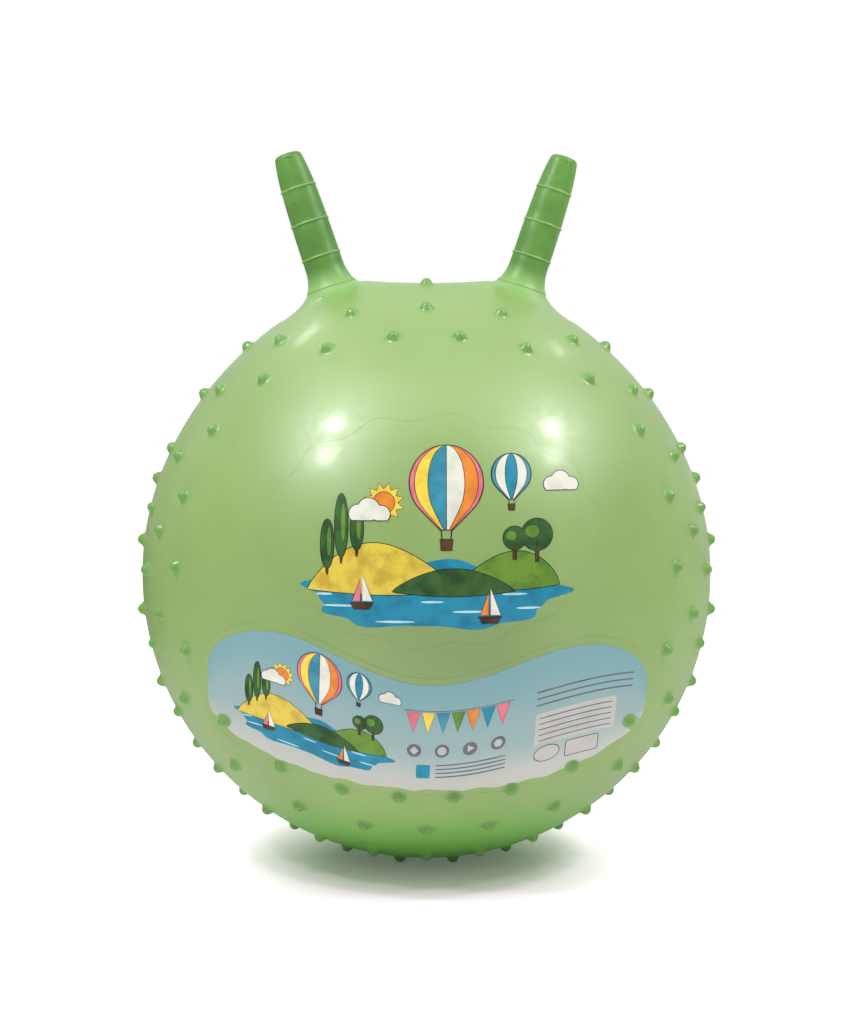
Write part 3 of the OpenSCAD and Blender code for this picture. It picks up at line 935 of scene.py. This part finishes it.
def printed_sheet(shapes, name, place, lift):
    """Joins flat printed shapes, cuts them into small cells and presses them onto the ball."""
    sheet = joined(shapes, name)
    spots = [vertex.co for vertex in sheet.data.vertices]
    bpy.ops.object.mode_set(mode="EDIT")
    bpy.ops.mesh.select_all(action="SELECT")
    bpy.ops.mesh.quads_convert_to_tris(ngon_method="BEAUTY")
    for axis in (0, 1):
        cut_no = Vector((1 - axis, axis, 0))
        first = min(spot[axis] for spot in spots)
        for i in range(1, int((max(spot[axis] for spot in spots) - first) / cell) + 1):
            bpy.ops.mesh.select_all(action="SELECT")
            bpy.ops.mesh.bisect(plane_co=cut_no * (first + i * cell), plane_no=cut_no)
    bpy.ops.object.mode_set(mode="OBJECT")
    lay_on_ball(sheet, place, lift, ink_t)
    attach(sheet, "ball")


shapes = []
lake_view(shapes)
printed_sheet(shapes, "print_picture", as_drawn, print_top + ink_step)

# Label film
# A printed sticker below the middle of the front, in a curved strip with two lobes, notched round the
# nubs. It is sky blue, paling to cream at its lower edge, with a clear margin round it. It bears the
# lake view again, small, and plain ornaments.
label_half_w = 162 * mm
label_top = 63 * mm
label_bottom = 144.5 * mm
label_lobe_h = 36 * mm
label_end_h = 29 * mm
corner_h = -5 * mm
notch_half_w = 5.4 * mm
notch_cut_share = 0.6
label_turn = math.radians(2.5)
lobe_place_share = 0.8
end_power = 4
low_right_power = 2.9
label_lift = 0.3 * mm
label_t = 0.2 * mm
margin_w = 5 * mm
margin_lift = 0.14 * mm
margin_t = 0.1 * mm
margin_steps = 240
edge_wave = 0.7 * mm
end_blue = 0.45
label_columns = 161
label_rows = 41
sky_blue = (0.163, 0.338, 0.347, 1)
sky_pale = (0.246, 0.370, 0.350, 1)
cream = (0.435, 0.455, 0.400, 1)
film_wrinkle_h = 1 * mm


def label_edges(share):
    """Heights of the label's upper and lower curve, at a share of its half width."""
    lobe = math.sin(math.pi / 2 * min(abs(share), 1) / lobe_place_share) ** 2
    return label_lobe_h * lobe - label_top, label_end_h * share ** 2 + corner_h * share ** 8 - label_bottom


def label_place(across, up):
    """Place on the ball, seen from the front, of a point measured along and across the label."""
    spot = Vector((across, sum(label_edges(across / label_half_w)) / 2 + up))
    spot.rotate(Matrix.Rotation(-label_turn, 2))
    return spot.x + film_shift, spot.y


def label_point(share, height_share, grow):
    """(along, across) of a point of the label, at shares of its half width and half height."""
    top, bottom = label_edges(share)
    power = low_right_power if share > 0 > height_share else end_power
    fullness = max(1 - abs(share) ** power, 0) ** (1 / power)
    wave = edge_wave * (math.sin(31 * share) + 0.6 * math.sin(53 * share + 1))
    droop = wave * max(-height_share, 0) ** 3 * fullness
    return (label_half_w + grow) * share, height_share * fullness * ((top - bottom) / 2 + grow) + droop


def notch_step(spot):
    """Step from the middle of the nearest notch to a point, both as seen from the front."""
    steps = []
    for direction in directions:
        if direction.y < 0 and direction.z < 0:
            nub_spot = Vector((direction.x, direction.z)) * ball_r
            out = nub_spot.normalized()
            steps.append(spot - nub_spot - out * max((spot - nub_spot).dot(out), 0))
    return min(steps, key=lambda step: step.length)


def label_sheet(grow, lift, thick):
    """Adds one sheet with the label's outline, grown all round, and presses it onto the ball."""
    bpy.ops.object.select_all(action="DESELECT")
    bpy.ops.mesh.primitive_grid_add(x_subdivisions=label_columns - 1, y_subdivisions=label_rows - 1, size=2)
    sheet = bpy.context.object
    rise = sheet.data.attributes.new("label_rise", "FLOAT", "POINT")
    for vertex, value in zip(sheet.data.vertices, rise.data):
        value.value = vertex.co.y + end_blue * vertex.co.x ** 4
        spot = Vector(label_place(*label_point(math.sin(math.pi / 2 * vertex.co.x), vertex.co.y, grow)))
        vertex.co = (*spot, 0)
    bpy.ops.object.mode_set(mode="EDIT")
    bpy.ops.mesh.select_all(action="SELECT")
    bpy.ops.mesh.remove_doubles(threshold=weld_gap)
    bpy.ops.mesh.select_all(action="DESELECT")
    bpy.ops.object.mode_set(mode="OBJECT")
    if grow == 0:
        for vertex in sheet.data.vertices:
            step = notch_step(vertex.co.xy)
            vertex.select = step.length < notch_half_w * notch_cut_share
            if step.length < notch_half_w:
                vertex.co += (step.normalized() * (notch_half_w - step.length)).to_3d()
        bpy.ops.object.mode_set(mode="EDIT")
        bpy.ops.mesh.delete(type="VERT")
        bpy.ops.object.mode_set(mode="OBJECT")
    lay_on_ball(sheet, as_drawn, lift, thick)
    return sheet


def label_paper(name):
    """Satin printed film: sky blue, paling to cream at its lower edge, with a faint print grain."""
    material, tree, shader, place = blank_finish(name)
    drift = reckoned(tree, "MULTIPLY_ADD", noise(tree, place, 14, 3), 0.5, carried(tree, "label_rise"))
    tone = mixed(tree, ranged(tree, drift, -0.75, 0.15), cream, sky_pale)
    tone = mixed(tree, ranged(tree, drift, 0.1, 1.2), tone, sky_blue)
    tree.links.new(tone, shader.inputs["Base Color"])
    rough = ranged(tree, noise(tree, place, 60, 3), 0.3, 0.7, 0.34, 0.44)
    tree.links.new(rough, shader.inputs["Roughness"])
    wrinkles = bumped(tree, noise(tree, place, 45, 2), 0.08, film_wrinkle_h)
    tree.links.new(wrinkles, shader.inputs["Normal"])
    shader.inputs["Specular IOR Level"].default_value = 0.4
    return material


label = label_sheet(0, label_lift, label_t)
label.data.materials.append(label_paper("label_film_print"))
margin = label_sheet(margin_w, margin_lift, margin_t)
margin.data.materials.append(moulding)
outline = []
for i in range(margin_steps):
    turn = i * 2 * math.pi / margin_steps
    share = math.sin(math.pi / 2 * math.cos(turn))
    outline.append(label_point(share, math.copysign(1, math.sin(turn)), margin_w))
edge = film_edge(outline, label_place, margin_lift - film_edge_r / 2, moulding)
joined([label, margin, edge], "label_film_piece")
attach(label, "ball")
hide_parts("label_film")

mini = 0.62
mini_across = -86 * mm
mini_up = -22 * mm
flag_inks = ("pink", "yellow", "blue", "meadow", "orange", "lake", "pink")
flag_step = 10.6
disc_corners = (4, 40, 3, 6)
disc_step = 20
fine_bar_step = 3.2
head_bar_step = 5
panel_bar_step = 4.4


def bar(left, right, low, high):
    """Outline of a plain bar with slightly rounded corners."""
    r = min(1.2, (high - low) / 2.5)
    corners = ((right - r, high - r), (left + r, high - r), (left + r, low + r), (right - r, low + r))
    points = []
    for quarter, (across, up) in enumerate(corners):
        for i in range(5):
            turn = (quarter + i / 4) * math.pi / 2
            points.append((across + r * math.cos(turn), up + r * math.sin(turn)))
    return points


shapes = []
lake_view(shapes)
for shape in shapes:
    for vertex in shape.data.vertices:
        vertex.co.x = vertex.co.x * mini + mini_across
        vertex.co.y = vertex.co.y * mini + mini_up
flat_shape(shapes, bar(-16, 62, 21.4, 22), "grey", 0)
for i, ink in enumerate(flag_inks):
    left = -14 + i * flag_step
    inked(shapes, [(left, 20.6), (left + 4.6, 5), (left + 9.2, 20.6)], ink, 0, 0.35)
for i, corners in enumerate(disc_corners):
    middle = -8 + i * disc_step
    flat_shape(shapes, oval(middle, -9, 5.2, 5.2), "grey", 0)
    flat_shape(shapes, oval(middle, -9, 3.2, 3.2, corners), "paper", 1)
for i in range(4):
    flat_shape(shapes, bar(8, 58, -21 - i * fine_bar_step, -19.9 - i * fine_bar_step), "grey", 0)
flat_shape(shapes, bar(-6, 4, -31, -20), "lake", 0)
for i in range(3):
    flat_shape(shapes, bar(78, 150, 21 - i * head_bar_step, 22.2 - i * head_bar_step), "grey", 0)
flat_shape(shapes, bar(78, 138, -20, 5), "paper", 0)
for i in range(5):
    flat_shape(shapes, bar(81, 135, 0.6 - i * panel_bar_step, 1.4 - i * panel_bar_step), "grey", 1)
inked(shapes, oval(88, -28, 9, 6), "paper", 0)
inked(shapes, bar(102, 126, -35, -23), "paper", 0)
printed_sheet(shapes, "label_picture", label_place, label_lift + ink_step)

# Floor and light
# A white paper sweep under a soft overhead light. Two soft boxes stand high on either side, a wide
# panel hangs above and two thin strips stand behind. Reflections see less of the sweep in front.
floor_half = 40
sweep_white = (0.95, 0.83, 0.93, 1)
shadow_squeeze = (1.35, 1, 1)
shadow_shift = (0, 0.03, 0)
side_slope = -0.6

bpy.ops.object.select_all(action="DESELECT")
bpy.ops.mesh.primitive_plane_add(size=floor_half * 2)
floor = bpy.context.object
floor.name = "floor"
sweep_paper, tree, sweep, floor_place = blank_finish("white_sweep")
sweep.inputs["Base Color"].default_value = sweep_white
sweep.inputs["Roughness"].default_value = 0.9
sweep.inputs["Specular IOR Level"].default_value = 0.1
sweep.inputs["Emission Color"].default_value = (1, 1, 1, 1)
# The sweep also glows; the glow is dimmed in an oval round the ball, shifted towards the camera, into a
# painted shadow.
squeezed = reckoned(
    tree, "MULTIPLY_ADD", floor_place, shadow_squeeze, shadow_shift, kind="VectorMath", output="Vector"
)
from_shadow = reckoned(tree, "LENGTH", squeezed, kind="VectorMath")
tree.links.new(ranged(tree, from_shadow, 0.09, 0.31, 0.09, 0.85), sweep.inputs["Emission Strength"])
# Painted reflection: reflections see a glow instead of the sweep, dark near the ball as a painted shadow and
# fading in front and far to the left.
spot = tree.nodes.new("ShaderNodeSeparateXYZ")
tree.links.new(floor_place, spot.inputs["Vector"])
beside = reckoned(tree, "ABSOLUTE", spot.outputs["X"])
behind = reckoned(tree, "MULTIPLY_ADD", beside, side_slope, spot.outputs["Y"])
from_middle = reckoned(tree, "LENGTH", floor_place, kind="VectorMath")
sheen = ranged(tree, from_middle, 0.06, 0.2, 0.05, 0.52)
for value, low, high in ((behind, -0.44, -0.17), (spot.outputs["X"], -0.8, -0.45)):
    sheen = reckoned(tree, "MULTIPLY", sheen, ranged(tree, value, low, high, 0.06, 1))
mirror = tree.nodes.new("ShaderNodeEmission")
tree.links.new(sheen, mirror.inputs["Strength"])
ray = tree.nodes.new("ShaderNodeLightPath")
shine = tree.nodes.new("ShaderNodeMixShader")
tree.links.new(ray.outputs["Is Glossy Ray"], shine.inputs[0])
tree.links.new(sweep.outputs["BSDF"], shine.inputs[1])
tree.links.new(mirror.outputs["Emission"], shine.inputs[2])
tree.links.new(shine.outputs["Shader"], tree.nodes["Material Output"].inputs["Surface"])
floor.data.materials.append(sweep_paper)
floor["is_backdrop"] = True

bpy.ops.object.light_add(type="SUN", rotation=(math.radians(22), 0, 0))
overhead = bpy.context.object
overhead.data.energy = 0.88
overhead.data.angle = math.radians(100)
overhead.visible_glossy = False

box_far = 1700 * mm
soft_boxes = [
    ((-0.488, -0.320, 0.812), 190, 180, 7.4),
    ((-0.553, -0.472, 0.686), 210, 180, 6.4),
    ((0.634, -0.195, 0.748), 190, 180, 7.4),
    ((0.671, -0.350, 0.653), 220, 170, 4.0),
    ((0.000, -0.330, 0.940), 1200, 800, 2.6),
    ((-0.399, 0.547, 0.736), 190, 60, 0.9),
    ((0.475, 0.465, 0.747), 120, 50, 0.5),
]
for towards, width, height, power in soft_boxes:
    out = Vector(towards).normalized()
    bpy.ops.object.light_add(type="AREA", location=ball_middle + out * box_far)
    box = bpy.context.object
    box.data.shape = "RECTANGLE"
    box.data.size = width * mm
    box.data.size_y = height * mm
    box.data.energy = power
    box.rotation_euler = out.to_track_quat("Z", "Y").to_euler()

backdrops = [((0, 1, 0.5), 0.1, 1.05, 0.05, 0.75), ((-0.506, 0.862, 0), 0.93, 0.99, 0, -0.35)]
room_glow = 0.2
world = bpy.data.worlds.new("white_studio")
bpy.context.scene.world = world
world.use_nodes = True
tree = world.node_tree
ray = tree.nodes.new("ShaderNodeLightPath")
way = tree.nodes.new("ShaderNodeTexCoord").outputs["Generated"]
sheens = []
for towards, start, end, dark, bright in backdrops:
    facing = reckoned(tree, "DOT_PRODUCT", way, towards, kind="VectorMath")
    sheens.append(ranged(tree, facing, start, end, dark, bright))
glow = tree.nodes.new("ShaderNodeMix")
tree.links.new(ray.outputs["Is Diffuse Ray"], glow.inputs["Factor"])
tree.links.new(reckoned(tree, "ADD", *sheens), glow.inputs["A"])
glow.inputs["B"].default_value = room_glow
seen = tree.nodes.new("ShaderNodeMix")
tree.links.new(ray.outputs["Is Camera Ray"], seen.inputs["Factor"])
tree.links.new(glow.outputs["Result"], seen.inputs["A"])
seen.inputs["B"].default_value = 1.0
tree.links.new(seen.outputs["Result"], tree.nodes["Background"].inputs["Strength"])
tree.nodes["Background"].inputs["Color"].default_value = (1, 1, 1, 1)

low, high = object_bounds()
